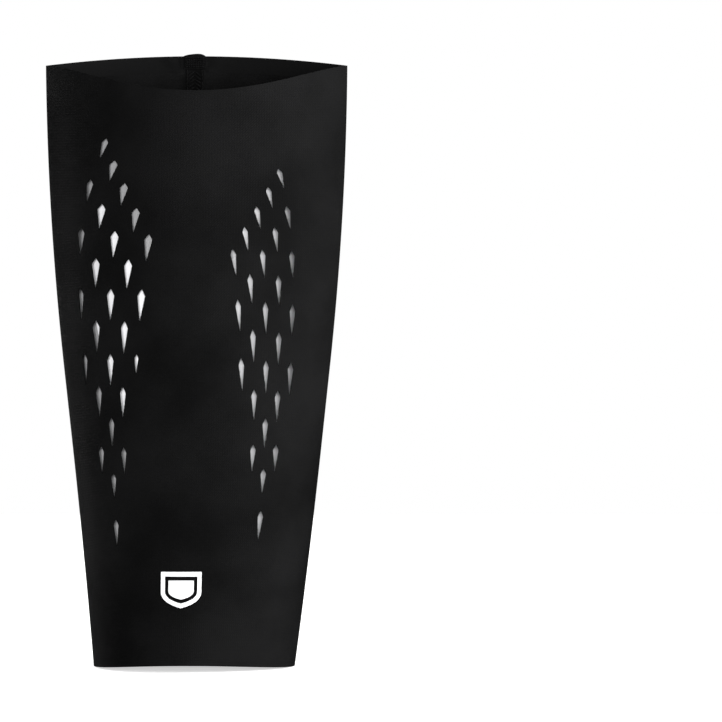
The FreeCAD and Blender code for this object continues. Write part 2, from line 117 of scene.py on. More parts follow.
# Plate
PLATE_RADIUS = 68.0       # outer radius of the curved plate
PLATE_GAP = 0.8           # free space between knit and plate at the ridge
SHELL_T = 1.8
FOAM_T = 3.5
FOAM_INSET = 1.2
FOAM_ROUND = 2.0          # width of the rounded foam edge
FOAM_ROUND_DEPTH = 0.9
BACKING_T = 0.5
BACKING_INSET = 3.2
LAYER_GAP = 0.02          # keeps the faces of two layers apart
VENT_ROWS = 7
VENT_W = 3.0
VENT_H = 12.0
VENT_START = 84.0
VENT_STEP = 26.0
PLATE_Y = FOLD_Y - (FRONT_DEPTH - WALL - PLATE_GAP) + PLATE_RADIUS
PLATE_HALF = 58.0         # half width where the plate is widest
PLATE_EDGE = [            # half width and height, from the bottom corner up
    (26.0, 48.0), (35.5, 53.5), (40.5, 62.0), (44.0, 80.0), (48.5, 110.0),
    (54.0, 150.0), (57.2, 190.0), (58.0, 220.0), (56.5, 250.0), (52.5, 264.0),
    (46.0, 272.0), (34.0, 276.5),
]
PLATE_TOP = 278.5
PLATE_FRAME = 1.7         # width of the darker frame moulded round the plate
FRAME_TONE = 0.06
# Partly the plate's two-tone paint, partly painted light: the right side is painted light grey for
# the light falling from the right, and the tones rise toward both outer ends to offset the shade
# inside the air cuts.
PLATE_TONES_AND_LIGHT = [           # place from left to right, 0 to 1, and grey there
    (0.04, 0.36), (0.30, 0.25), (0.495, 0.25), (0.505, 0.16), (0.64, 0.16),
    (0.66, 0.80), (0.84, 0.95),
]

# Pocket
POCKET_BOTTOM = 34.0
POCKET_SEAM_TOP = 40.0
POCKET_MOUTH = 266.0
LINER_T = 0.6
LINER_RIDGE = 32.6        # side folds to the front face of the liner
LINER_ROUND = 0.15        # softens the ends of the liner curve
LINER_PLAY = 1.0          # free space at the sides and at the bottom
LINER_START = 12.0        # the liner leaves the knit over this height
LINER_CLEAR = 0.35        # keeps the liner off the plate in its pocket
LINER_POINTED = 0.5       # how pointed the liner is at the bottom
LINER_POINTED_GAINS = [(0.42, POCKET_BOTTOM, 14.0), (2.6, 48.0, 215.0)]  # gain, from, over
BINDING_W = 8.0
BINDING_DROP = 1.0        # from the pocket mouth to the top of the binding
BINDING_REACH = 0.9       # radians to each side
BINDING_T = 0.5
SIDE_SEAM_W = 4.0
SIDE_SEAM_CLEAR = 0.04    # radians kept free at the fold

# Back seam, hems, emblem and label
SEAM_HALF = 4.6           # half width of the seam tape
FOLD_HALF = 5.5           # half width of the folded seam ends
FOLD_LENGTH = 6.0
TAPE_T = 0.35
FILM_W = 8.0
FILM_T = 0.15
EMBLEM_X = -6.3
EMBLEM_Z = 41.0
EMBLEM_W = 20.0
EMBLEM_H = 18.0
EMBLEM_T = 0.2
LABEL_LEFT = 18.0
LABEL_W = 18.0
LABEL_LOW = 222.0
LABEL_H = 30.0

UNROLL = 48.0             # mm of cloth per radian round the sleeve
GRID = 3.0                # spacing of the cloth mesh


def mm(x, y, z):
    return Vector((x * MM, y * MM, z * MM))


def smooth(s):
    s = min(max(s, 0.0), 1.0)
    return s * s * (3.0 - 2.0 * s)


def bump(value, centre, width):
    return math.exp(-((value - centre) / width) ** 2)


# ---- sleeve shape ----
def half_width(z):
    return ANKLE_HALF + TAPER * z - CALF_EASE * max(0.0, z - CALF_START) ** 2


def pointedness(z):
    return POINTED_LOW + POINTED_GAIN * smooth((z - POINTED_START) / POINTED_RISE)


def back_depth(z):
    base = BACK_DEPTH_ANKLE + (BACK_DEPTH_TOP - BACK_DEPTH_ANKLE) * z / HEIGHT
    return base + BACK_CALF_BULGE * math.sin(math.pi * min(max(z, 0.0), HEIGHT) / HEIGHT)


def dent(row, x, z):
    runs, depth, middle, width, slant, origin, half_way, length = row
    across, along = (x, z) if runs == "up" else (z, x)
    off_line = across - slant * (along - origin)
    return depth * bump(off_line, middle, width) * bump(along, half_way, length)


def slow_wave(wave, x, z):
    depth, across, up, seed = wave
    return depth * noise.noise(Vector((x * across, z * up, seed)))


def cloth_wave(x, z, front):
    """Soft dents, positive is inward."""
    if front:
        dents = sum(dent(row, x, z) for row in FRONT_DENTS)
        ripple = slow_wave(FRONT_RIPPLE, x, z) * smooth((x - RIPPLE_LEFT) / RIPPLE_FADE)
        return dents + slow_wave(FRONT_DRAPE, x, z) + ripple
    away = abs(x - SEAM_X)
    pucker = PUCKER_DEPTH * math.cos(z * PUCKER_TURN) * bump(x, SEAM_X, PUCKER_REACH)
    # The bartack's dent is further from the seam nearer the rim.
    tack = TACK_DENT * bump(away, TACK_DENT_OUT + TACK_DENT_SLANT * (z - TACK_DENT_Z), TACK_DENT_W)
    tack *= smooth((z - TACK_DENT_LOW) / TACK_DENT_FADE)
    return pucker * smooth(away / PUCKER_CLEAR) + tack + slow_wave(BACK_DRAPE, x, z)


def hem_lift(theta, z):
    """The hem rises a little between the side folds."""
    c = abs(math.cos(theta))
    lift = HEM_RISE_FRONT if math.cos(theta) > 0 else HEM_RISE_BACK
    return lift * c ** 2 * (1.0 - smooth(z / HEM_RISE_REACH))


def theta_at(x, half, start=0.0):
    """Angle of the front point that lies at x, for this half width."""
    theta = start
    for _ in range(SOLVE_STEPS):
        s = (x - CROWN_X * math.cos(theta) ** 2) / half
        theta = math.asin(min(max(s, -SINE_LIMIT), SINE_LIMIT))
    return theta


def wall_point(theta, z, inset):
    """theta 0 is the front ridge, +-90 degrees the folds, 180 the back."""
    a = half_width(z) - inset * (1.0 + z / HEIGHT)
    c = abs(math.cos(theta))
    front = math.cos(theta) > 0
    crown = CROWN_X if front else 0.0
    depth = FRONT_DEPTH if front else back_depth(z)
    x = a * math.sin(theta) + crown * c * c
    share = 1.0 - min(max(inset / WALL, 0.0), 1.0) if front else 1.0
    depth -= inset
    rise = (depth - FOLD_ROUND) * c ** (2.0 * pointedness(z)) + FOLD_ROUND * c
    rise -= cloth_wave(x, z, front) * share * smooth(c / FOLD_FADE)
    y = FOLD_Y - rise if front else FOLD_Y + rise
    lean = ANKLE_LEAN * max(0.0, 1.0 - z / ANKLE_LEAN_REACH) ** 2
    return mm(x + lean, y, z + hem_lift(theta, z))


def wall_back_point(theta, z, inset):
    """Point on the inner face straight behind the outer one, so that cuts
    go through the knit from front to back."""
    if math.cos(theta) <= 0:
        return wall_point(theta, z, inset)
    c = math.cos(theta)
    x = half_width(z) * math.sin(theta) + CROWN_X * c * c
    inner = theta_at(x, half_width(z) - inset * (1.0 + z / HEIGHT), theta)
    near_fold = smooth((abs(math.degrees(theta)) - NEAR_FOLD) / NEAR_FOLD_FADE)
    return wall_point(inner + (theta - inner) * near_fold, z, inset)


def plate_mask(theta, z):
    """1 where the knit lies over the plate, fading to 0 round it."""
    c = max(math.cos(theta), 0.0)
    low = smooth((z - THIN_LOW) / THIN_FADE)
    high = smooth((THIN_HIGH - z) / THIN_FADE)
    return smooth((c - THIN_SIDE) / THIN_SIDE_FADE) * low * high


def sleeve_outer(theta, z):
    """Outer face: over the plate the knit is stretched thin and lies closer."""
    mask = plate_mask(theta, z)
    outer = wall_point(theta, z, 0.0)
    if mask == 0.0:
        return outer
    return outer.lerp(wall_back_point(theta, z, WALL), THIN_SHARE * mask)


def sleeve_inner(theta, z):
    shift = THIN_CLOSER * plate_mask(theta, z)
    return wall_back_point(theta, z, WALL) + mm(0.0, shift, 0.0)


def front_at(x, z, inset):
    return wall_point(theta_at(x, half_width(z)), z, inset)


def back_at(x, z, inset):
    return wall_point(math.pi - math.asin(x / half_width(z)), z, inset)


def rim_z(theta):
    """Height of the cut top edge."""
    a = half_width(HEIGHT)
    c = abs(math.cos(theta))
    if math.cos(theta) <= 0:
        return HEIGHT + RIM_TILT * BACK_DEPTH_TOP * c * c
    x = a * math.sin(theta)
    u = min(max((x - RIM_SHIFT * c * c) / a, -1.0), 1.0)
    return HEIGHT - RIM_TILT * FRONT_DEPTH * (1.0 - u * u) ** RIM_POWER


RIM_BACK = rim_z(math.pi)


# ---- mesh helpers ----
def inside(poly, p):
    hit = False
    j = len(poly) - 1
    for i in range(len(poly)):
        xi, yi = poly[i]
        xj, yj = poly[j]
        if (yi > p[1]) != (yj > p[1]):
            if p[0] < (xj - xi) * (p[1] - yi) / (yj - yi) + xi:
                hit = not hit
        j = i
    return hit


def edge_distance(poly, p):
    best = 1e9
    for i in range(len(poly)):
        ax, ay = poly[i - 1]
        bx, by = poly[i]
        dx, dy = bx - ax, by - ay
        t = ((p[0] - ax) * dx + (p[1] - ay) * dy) / max(dx * dx + dy * dy, 1e-12)
        t = min(max(t, 0.0), 1.0)
        best = min(best, math.hypot(p[0] - ax - t * dx, p[1] - ay - t * dy))
    return best


def in_box(box, p):
    return box[0] < p[0] < box[1] and box[2] < p[1] < box[3]


def triangulate(outline, holes, step_u, step_v, creases):
    """Triangles of a flat cutting pattern with holes. A crease is a straight
    row of mesh points up the pattern, so that a fold stays sharp."""
    crease_clear = 0.9
    crease_end = 0.5
    box_margin = 2
    coords = [p for loop in [outline] + holes for p in loop]
    us = [p[0] for p in outline]
    vs = [p[1] for p in outline]
    boxes = []
    for h in holes:
        hx = [p[0] for p in h]
        hy = [p[1] for p in h]
        boxes.append((min(hx) - box_margin, max(hx) + box_margin,
                      min(hy) - box_margin, max(hy) + box_margin))
    gap = 0.45 * min(step_u, step_v)
    nu = max(1, round((max(us) - min(us)) / step_u))
    nv = max(1, round((max(vs) - min(vs)) / step_v))
    for i in range(nu + 1):
        for j in range(nv + 1):
            p = (min(us) + (max(us) - min(us)) * i / nu,
                 min(vs) + (max(vs) - min(vs)) * j / nv)
            if not inside(outline, p) or edge_distance(outline, p) < gap:
                continue
            near = [h for h, box in zip(holes, boxes) if in_box(box, p)]
            if any(inside(h, p) or edge_distance(h, p) < gap for h in near):
                continue
            coords.append(p)
    for crease in creases:
        coords = [p for p in coords
                  if abs(p[0] - crease) > crease_clear or edge_distance(outline, p) < 1e-6]
    edges = []
    index = {p: i for i, p in enumerate(coords)}
    for loop in [outline] + holes:
        edges += [(index[loop[i - 1]], index[loop[i]]) for i in range(len(loop))]
    for crease in creases:
        start = len(coords)
        for j in range(1, nv * 2):
            p = (crease, min(vs) + (max(vs) - min(vs)) * j / (nv * 2))
            if inside(outline, p) and edge_distance(outline, p) > crease_end:
                coords.append(p)
        edges += [(k, k + 1) for k in range(start, len(coords) - 1)]
    points = [Vector(p) for p in coords]
    verts, _, faces, _, _, _ = delaunay_2d_cdt(points, edges, [], 0, 1e-6)
    kept = []
    for f in faces:
        mid = (sum(verts[k][0] for k in f) / len(f), sum(verts[k][1] for k in f) / len(f))
        if not inside(outline, mid):
            continue
        if any(in_box(box, mid) and inside(h, mid) for h, box in zip(holes, boxes)):
            continue
        kept.append(tuple(f))
    return [(v[0], v[1]) for v in verts], kept


def new_object(name, verts, faces, sharp=40.0):
    mesh = bpy.data.meshes.new(name)
    mesh.from_pydata(verts, [], faces)
    mesh.validate()
    mesh.shade_smooth()
    mesh.set_sharp_from_angle(angle=math.radians(sharp))
    obj = bpy.data.objects.new(name, mesh)
    bpy.context.scene.collection.objects.link(obj)
    return obj


def cloth_piece(name, mat, outline, holes, step, outer, inner, sharp=40.0, creases=()):
    """Closed thin solid cut to a flat pattern and laid on two surfaces."""
    flat, tris = triangulate(outline, holes, step[0], step[1], creases)
    used = sorted({k for f in tris for k in f})
    slot_of = {k: i for i, k in enumerate(used)}
    n = len(used)
    pattern = [flat[k] for k in used]
    verts = [outer(*p) for p in pattern] + [inner(*p) for p in pattern]
    faces = []
    rim = {}
    for f in tris:
        a, b, c = [slot_of[k] for k in f]
        faces.append((a, b, c))
        faces.append((n + c, n + b, n + a))
        for e in ((a, b), (b, c), (c, a)):
            if (e[1], e[0]) in rim:
                del rim[(e[1], e[0])]
            else:
                rim[e] = True
    for a, b in rim:
        faces.append((b, a, n + a, n + b))
    obj = new_object(name, verts, faces, sharp)
    layer = obj.data.uv_layers.new(name="pattern")
    for loop in obj.data.loops:
        u, v = pattern[loop.vertex_index % n]
        layer.data[loop.index].uv = (u * MM, v * MM)
    paint(obj, mat)
    return obj


def ring_faces(start, rings, sides):
    """Faces round a row of rings of vertices, with both ends capped."""
    faces = []
    for j in range(rings - 1):
        for k in range(sides):
            k2 = (k + 1) % sides
            a = start + j * sides
            faces.append((a + k, a + k2, a + sides + k2, a + sides + k))
    faces.append(tuple(start + k for k in range(sides))[::-1])
    last = start + (rings - 1) * sides
    faces.append(tuple(last + k for k in range(sides)))
    return faces


def tubes(name, paths, radius):
    """Thread segments: one tube per path of points, narrower at its ends."""
    sides = 7
    end_share = 0.45
    verts = []
    faces = []
    for path in paths:
        start = len(verts)
        count = len(path)
        for i, p in enumerate(path):
            a = path[max(i - 1, 0)]
            b = path[min(i + 1, count - 1)]
            along = (b - a).normalized()
            side = along.cross(Vector((0.0, 1.0, 0.02))).normalized()
            up = side.cross(along)
            end = i in (0, count - 1)
            r = radius * MM * (end_share if end else 1.0)
            for k in range(sides):
                w = 2.0 * math.pi * k / sides
                verts.append(p + (side * math.cos(w) + up * math.sin(w)) * r)
        faces += ring_faces(start, count, sides)
    piece = new_object(name, verts, faces, 70.0)
    paint(piece, THREAD)
    return piece


def arched(points, lift, point):
    """Path of a stitch that stands off by lift in its middle. point takes the
    share of the way along it and how far it stands off there."""
    shares = [k / (points - 1) for k in range(points)]
    return [point(s, lift * math.sin(math.pi * s)) for s in shares]


def rectangle(u0, u1, v0, v1, step=GRID):
    nu = max(1, round((u1 - u0) / step))
    nv = max(1, round((v1 - v0) / step))
    out = [(u0 + (u1 - u0) * i / nu, v0) for i in range(nu)]
    out += [(u1, v0 + (v1 - v0) * i / nv) for i in range(nv)]
    out += [(u1 - (u1 - u0) * i / nu, v1) for i in range(nu)]
    out += [(u0, v1 - (v1 - v0) * i / nv) for i in range(nv)]
    return out


# ---- materials ----
class Nodes:
    """Short way to build a node material."""

    def __init__(self, name):
        self.mat = bpy.data.materials.new(name)
        self.mat.use_nodes = True
        self.tree = self.mat.node_tree
        self.shader = self.tree.nodes["Principled BSDF"]

    def add(self, kind, **values):
        node = self.tree.nodes.new(kind)
        for key, value in values.items():
            setattr(node, key, value)
        return node

    def link(self, a, b):
        self.tree.links.new(a, b)

    def math(self, op, a, b=None, c=None):
        node = self.add("ShaderNodeMath", operation=op)
        for i, v in enumerate((a, b, c)):
            if v is None:
                continue
            if isinstance(v, (int, float)):
                node.inputs[i].default_value = v
            else:
                self.link(v, node.inputs[i])
        return node.outputs[0]

    def surface(self, colour, roughness):
        self.link(colour, self.shader.inputs["Base Color"])
        self.link(roughness, self.shader.inputs["Roughness"])

    def set(self, **values):
        for key, value in values.items():
            self.shader.inputs[key.replace("_", " ")].default_value = value

    def noise(self, vector, scale, detail):
        node = self.add("ShaderNodeTexNoise")
        node.inputs["Scale"].default_value = scale
        node.inputs["Detail"].default_value = detail
        self.link(vector, node.inputs["Vector"])
        return node.outputs["Fac"]

    def ramp(self, fac, stops):
        node = self.add("ShaderNodeValToRGB")
        self.link(fac, node.inputs["Fac"])
        ramp = node.color_ramp
        while len(ramp.elements) < len(stops):
            ramp.elements.new(0.5)
        for element, (pos, colour) in zip(ramp.elements, stops):
            element.position = pos
            element.color = (*colour, 1.0)
        return node.outputs["Color"]

    def blend(self, factor, first, second):
        """Colour first where factor is 0, second where it is 1."""
        node = self.add("ShaderNodeMix", data_type="RGBA")
        self.link(factor, node.inputs["Factor"])
        node.inputs[6].default_value = first
        self.link(second, node.inputs[7])
        return node.outputs[2]

    def bump(self, height, distance, strength):
        node = self.add("ShaderNodeBump")
        node.inputs["Distance"].default_value = distance
        node.inputs["Strength"].default_value = strength
        self.link(height, node.inputs["Height"])
        self.link(node.outputs["Normal"], self.shader.inputs["Normal"])

    def position(self):
        return self.add("ShaderNodeTexCoord").outputs["Object"]

    def pattern(self):
        return self.add("ShaderNodeUVMap", uv_map="pattern").outputs["UV"]


def grey(v):
    return (v, v, v * 1.02)


def knit_material(name, dark, light, wale, course, depth):
    """V shaped knit stitches that follow the cut pattern. wale and course are
    the width and height of a stitch, depth its relief, all in metres."""
    m = Nodes(name)
    uv = m.pattern()
    split = m.add("ShaderNodeSeparateXYZ")
    m.link(uv, split.inputs[0])
    column = m.math("MULTIPLY", split.outputs[0], 1.0 / wale)
    across = m.math("ABSOLUTE", m.math("SUBTRACT", m.math("FRACT", column), 0.5))
    slant = m.math("MULTIPLY", across, 1.2)
    row = m.math("ADD", m.math("MULTIPLY", split.outputs[1], 1.0 / course), slant)
    loop = m.math("SINE", m.math("MULTIPLY", row, 2.0 * math.pi))
    valley = m.math("MULTIPLY", m.math("SUBTRACT", 0.25, across), 1.6)
    height = m.math("ADD", loop, valley)
    fuzz = m.noise(m.position(), 2600.0, 2.0)
    # Large soft light and dark patches in the colour: partly the knit's own uneven tone, partly
    # painted sheen and shade of soft folds.
    cloud_tone_and_sheen = m.noise(m.position(), 19.0, 4.0)
    speck_tone_and_sheen = m.math("ADD", m.math("MULTIPLY", fuzz, 0.3), m.math("MULTIPLY", cloud_tone_and_sheen, 0.7))
    colour = m.ramp(speck_tone_and_sheen, [(0.40, grey(dark)), (0.60, grey(light))])
    m.surface(colour, m.math("ADD", m.math("MULTIPLY", fuzz, 0.16), 0.52))
    m.bump(m.math("ADD", height, m.math("MULTIPLY", fuzz, 1.4)), depth, 0.8)
    m.set(Specular_IOR_Level=0.015)
    return m.mat


def woven_material(name, dark, light, pitch, sheen):
    """Plain weave or twisted thread, in object space, with its pitch in metres."""
    m = Nodes(name)
    split = m.add("ShaderNodeSeparateXYZ")
    m.link(m.position(), split.inputs[0])
    k = 2.0 * math.pi / pitch
    warp = m.math("SINE", m.math("MULTIPLY", split.outputs[0], k))
    weft = m.math("SINE", m.math("MULTIPLY", split.outputs[2], k))
    weave = m.math("MULTIPLY", warp, weft)
    fuzz = m.noise(m.position(), 1800.0, 2.0)
    fac = m.math("ADD", m.math("MULTIPLY", weave, 0.18), fuzz)
    colour = m.ramp(fac, [(0.3, grey(dark)), (0.75, grey(light))])
    m.surface(colour, m.math("ADD", m.math("MULTIPLY", fuzz, 0.25), 0.6))
    m.bump(fac, pitch * 0.25, 0.7)
    m.set(Sheen_Weight=sheen, Specular_IOR_Level=0.03)
    return m.mat


def moulded_material(name, dark, light, grain, roughness, specular=0.5):
    """Plastic, film, foam or silicone with fine moulded grain."""
    m = Nodes(name)
    fine = m.noise(m.position(), grain, 3.0)
    broad = m.noise(m.position(), 35.0, 4.0)
    fac = m.math("ADD", m.math("MULTIPLY", fine, 0.4), m.math("MULTIPLY", broad, 0.6))
    colour = m.ramp(fac, [(0.3, grey(dark)), (0.7, grey(light))])
    m.surface(colour, m.math("ADD", m.math("MULTIPLY", broad, 0.16), roughness - 0.08))
    m.bump(fine, 0.00012, 0.5)
    m.set(Specular_IOR_Level=specular)
    return m.mat


def plate_material():
    """Moulded shell: mid grey on the left, a darker strip in the middle, light
    grey on the right, and a dark frame along its outline. The tones across are
    partly painted light: the right side is lighter for the light falling from
    the right, and both outer ends are lighter to offset shade in the air cuts."""
    across_scale = 8.0    # per metre: 0 to 1 over 125 mm, 0.5 in the middle
    m = Nodes("plate_tones_and_painted_light")
    pos = m.position()
    split = m.add("ShaderNodeSeparateXYZ")
    m.link(pos, split.inputs[0])
    across = m.math("MULTIPLY_ADD", split.outputs[0], across_scale, 0.5)
    fine = m.noise(pos, 900.0, 3.0)
    soft = m.math("ADD", across, m.math("MULTIPLY", m.math("SUBTRACT", fine, 0.5), 0.01))
    # Tones across the plate: two-tone paint plus painted light, lighter on the right and at both
    # outer ends.
    tones_and_light = m.ramp(soft, [(at, grey(tone)) for at, tone in PLATE_TONES_AND_LIGHT])
    tall = m.math("MULTIPLY", split.outputs[2], 1.0 / (PLATE_TOP * MM))
    outline = m.ramp(tall, [(z / PLATE_TOP, (x / PLATE_TOP,) * 3) for x, z in PLATE_EDGE])
    reach = m.math("MULTIPLY", outline, PLATE_TOP * MM)
    off_axis = m.math("ABSOLUTE", m.math("SUBTRACT", split.outputs[0], CROWN_X * MM))
    to_side = m.math("SUBTRACT", reach, off_axis)
    to_top = m.math("SUBTRACT", PLATE_TOP * MM, split.outputs[2])
    to_low = m.math("SUBTRACT", split.outputs[2], PLATE_EDGE[0][1] * MM)
    to_edge = m.math("MINIMUM", to_side, m.math("MINIMUM", to_top, to_low))
    share = m.math("MULTIPLY", to_edge, 1.0 / (PLATE_FRAME * MM))
    field = m.ramp(share, [(0.90, grey(0.0)), (1.0, (1.0, 1.0, 1.0))])
    tone = m.blend(field, (*grey(FRAME_TONE), 1.0), tones_and_light)
    m.surface(tone, m.math("MULTIPLY_ADD", fine, 0.2, 0.32))
    m.bump(fine, 0.00015, 0.4)
    m.set(Coat_Weight=0.1)
    return m.mat


def paint(obj, mat):
    obj.data.materials.clear()
    obj.data.materials.append(mat)


KNIT = knit_material("knit_black", dark=0.0027, light=0.0062, wale=0.0009,
                     course=0.0008, depth=0.00004)
LINING = knit_material("lining_black", dark=0.003, light=0.006, wale=0.0015,
                       course=0.0012, depth=0.00008)
TAPE = woven_material("tape_black", dark=0.0016, light=0.004, pitch=0.0008, sheen=0.0)
THREAD = woven_material("thread_black", dark=0.002, light=0.007, pitch=0.0006, sheen=0.0)
LABEL = woven_material("label_white", dark=0.60, light=0.78, pitch=0.0005, sheen=0.1)
BACKING = woven_material("backing_black", dark=0.012, light=0.035, pitch=0.0009, sheen=0.15)
FILM = moulded_material("film_black", dark=0.0036, light=0.0044, grain=800.0,
                        roughness=0.6, specular=0.02)
SILICONE = moulded_material("grip_silicone", dark=0.01, light=0.02, grain=500.0,
                            roughness=0.5, specular=0.2)
TRANSFER = moulded_material("transfer_white", dark=0.80, light=0.90, grain=1500.0,
                            roughness=0.55)
STRIPE = moulded_material("plate_white", dark=0.80, light=0.88, grain=900.0, roughness=0.35)
FOAM = moulded_material("foam_grey", dark=0.10, light=0.16, grain=1400.0, roughness=0.85)
PLATE = plate_material()


# ---- air cuts ----
ROWS = 14
COLUMNS = 2
SHOULDER = 0.22           # widest point, as a share of the length of a cut
CUT_SHARES = (0.0, 0.08, 0.16, SHOULDER, 0.32, 0.46, 0.62, 0.80)
TOP_POWER = 1.15          # how round the sides are above the shoulder
TAIL_POWER = 1.05         # and below it
TIP_STRETCH = 1.15        # the lowest cut of each group is longer
CORNER_SHRINK = 0.6       # one small cut at the inner low corner, left group
OUTER_NARROW = 0.82       # the outer column of the left group is narrower
ROW_TILT = 0.8            # step between neighbour columns of one row
TILT_START = 195.0        # left group: rows tilt above this height
TILT_RISE = 30.0
TILT_MIDDLE = 170.0       # right group: rows tilt about this height
TILT_SPAN = 40.0
SPREAD_START = 110.0      # columns spread out from this height up
SPREAD_RISE = 130.0
WIDTH_START = 100.0       # left group: cuts get wider from this height up
WIDTH_RISE = 120.0
BEND_ABOVE = 100.0        # height over which the top bend is measured
BEND_BELOW = 90.0


class CutGroup:
    """side -1 is the left group, +1 the right group.

    The middle column runs at axis_x from the sleeve centre and bends toward
    it above and below bend_z: by top_bend at the top, by low_bend at the
    bottom. Rows are close at both ends and widest apart in the middle.
    """

    def __init__(self, side, top_z, pitch, pitch_gain, axis_x, bend_z):
        self.side = side
        self.top_z = top_z
        self.pitch_min = pitch
        self.pitch_gain = pitch_gain
        self.axis_x = axis_x
        self.bend_z = bend_z
        self.left = side < 0
        self.top_bend = 16.5 if self.left else 9.2
        self.low_bend = 2.9 if self.left else 4.0
        self.spread_low = 5.7 if self.left else 5.6
        self.spread_gain = 3.2 if self.left else 1.9
        self.width_low = 2.4 if self.left else 2.6
        self.width_gain = 1.6 if self.left else 0.0
        self.length_share = 1.0 if self.left else 1.12
        self.tip_share = 1.12 if self.left else 1.25
        self.lean_share = 0.75 if self.left else 1.2

    def pitch(self, row):
        wave = math.sin(math.pi * (row + 0.2) / (ROWS + 1)) ** 2
        return self.pitch_min + self.pitch_gain * wave

    def row_z(self, row, column):
        z = self.top_z - sum(self.pitch(r) for r in range(row))
        if self.left:
            return z + ROW_TILT * column * smooth((z - TILT_START) / TILT_RISE)
        return z - ROW_TILT * column * bump(z, TILT_MIDDLE, TILT_SPAN)

    def spread(self, z):
        wider = smooth((z - SPREAD_START) / SPREAD_RISE)
        return self.spread_low + self.spread_gain * wider

    def axis(self, z):
        """Distance of the middle column from the sleeve centre."""
        rise = z - self.bend_z
        if rise > 0:
            return self.axis_x - self.top_bend * (rise / BEND_ABOVE) ** 3
        return self.axis_x - self.low_bend * (rise / BEND_BELOW) ** 2

    def column_x(self, column, z):
        """column 2 is the outermost one."""
        return self.side * (self.axis(z) + column * self.spread(z))

    def width(self, z):
        return self.width_low + self.width_gain * smooth((z - WIDTH_START) / WIDTH_RISE)

    def cuts(self):
        """List of (top x, top z, tail x, tail z, width)."""
        out = []
        for column in range(-COLUMNS, COLUMNS + 1):
            first = COLUMNS - column
            last = ROWS - 3 * abs(column)
            for row in range(first, last + 1, 2):
                z = self.row_z(row, column)
                length = self.pitch(row) * self.length_share
                w = self.width(z)
                if row == ROWS:
                    length *= TIP_STRETCH * self.tip_share
                if self.left and row == last and column == -COLUMNS:
                    length *= CORNER_SHRINK
                    w *= CORNER_SHRINK
                if self.left and column == COLUMNS:
                    w *= OUTER_NARROW
                x = self.column_x(column, z)
                lean = self.lean_share * (self.column_x(column, z - length) - x)
                out.append((x, z, x + lean, z - length, w))
        return out


def cut_outline(cut):
    """Rounded kite, as a loop in the flat cutting pattern."""
    x0, z0, x1, z1, w = cut
    right = []
    for s in CUT_SHARES:
        if s <= SHOULDER:
            share = 1.0 - (1.0 - s / SHOULDER) ** TOP_POWER
        else:
            share = 1.0 - ((s - SHOULDER) / (1.0 - SHOULDER)) ** TAIL_POWER
        right.append((x0 + (x1 - x0) * s, z0 + (z1 - z0) * s, share * w / 2.0))
    loop = [(x + h, z) for x, z, h in right]
    loop.append((x1, z1))
    loop += [(x - h, z) for x, z, h in right[:0:-1]]
    return [(theta_at(x, half_width(z)) * UNROLL, z) for x, z in loop]


GROUPS = [
    CutGroup(-1, top_z=262.3, pitch=10.0, pitch_gain=6.3, axis_x=42.2, bend_z=165.0),
    CutGroup(1, top_z=249.1, pitch=9.1, pitch_gain=5.6, axis_x=35.0, bend_z=150.0),
]


def knit_sleeve():
    """One panel, cut open at the rear seam, with its two edges butted there."""
    low = -math.pi + SEAM_EDGE_LOW
    high = math.pi + SEAM_EDGE_HIGH
    around = 108
    up = 100
    edge = [(low + (high - low) * i / around, 0.0) for i in range(around)]
    edge += [(high, rim_z(high) * i / up) for i in range(up)]
    for i in range(around):
        theta = high + (low - high) * i / around
        edge.append((theta, rim_z(theta)))
    edge += [(low, rim_z(low) * (1.0 - i / up)) for i in range(up)]
    outline = [(t * UNROLL, z) for t, z in edge]
    holes = [cut_outline(c) for g in GROUPS for c in g.cuts()]
    return cloth_piece(
        "knit_sleeve", KNIT, outline, holes, (GRID, GRID),
        lambda u, z: sleeve_outer(u / UNROLL, z),
        lambda u, z: sleeve_inner(u / UNROLL, z),
        creases=(-math.pi / 2 * UNROLL, math.pi / 2 * UNROLL))


def hem_band(name, top):
    """Bonded film just inside the cut edge, open at the back seam."""
    low = -math.pi + 0.115
    high = math.pi - 0.115 + 0.04
    top_drop = 0.3
    bottom_rise = 0.2
    around = 200
    shares = [0.0, 0.2, 0.4, 0.6, 0.8, 1.0]
    cross = [(t, WALL) for t in shares] + [(t, WALL + FILM_T) for t in shares[::-1]]
    verts = []
    for i in range(around + 1):
        theta = low + (high - low) * i / around
        for share, inset in cross:
            z = bottom_rise + FILM_W * share
            if top:
                z = rim_z(theta) - top_drop - FILM_W * (1.0 - share)
            verts.append(wall_point(theta, z, inset))
    piece = new_object(name, verts, ring_faces(0, around + 1, len(cross)))
    paint(piece, FILM)
    return piece


# ---- rear seam ----
def back_strip(name, x0, x1, z0, z1, outer, inner, mat, step=(1.5, 3.0)):
    """Strip on the back wall between two insets from its outer face."""
    return cloth_piece(
        name, mat, rectangle(x0, x1, z0, z1), [], step,
        lambda x, z: back_at(x, z, outer),
        lambda x, z: back_at(x, z, inner))


def chevron_threads(name, half, pitch, inset, radius, z0, z1):
    """Looper threads that meet in a V at the middle of the seam."""
    slant = 1.2
    paths = []
    for i in range(int((z1 - z0) / pitch)):
        z = z0 + i * pitch
        for side in (-1.0, 1.0):
            paths.append(arched(6, 0.28, lambda s, lift: back_at(
                SEAM_X + side * half * (1.0 - s), z + slant * s * pitch, inset + lift)))
    return tubes(name, paths, radius)


def rail_thread(name, x, inset, z0, z1):
    """Edge thread of the seam, a row of short overlapping stitches."""
    pitch = 2.2
    overlap = 1.15
    lean = 0.35
    paths = []
    for i in range(int((z1 - z0) / pitch)):
        z = z0 + i * pitch
        paths.append(arched(5, 0.25, lambda s, lift: back_at(
            x + lean * (s - 0.5), z + s * pitch * overlap, inset + lift)))
    return tubes(name, paths, 0.34)


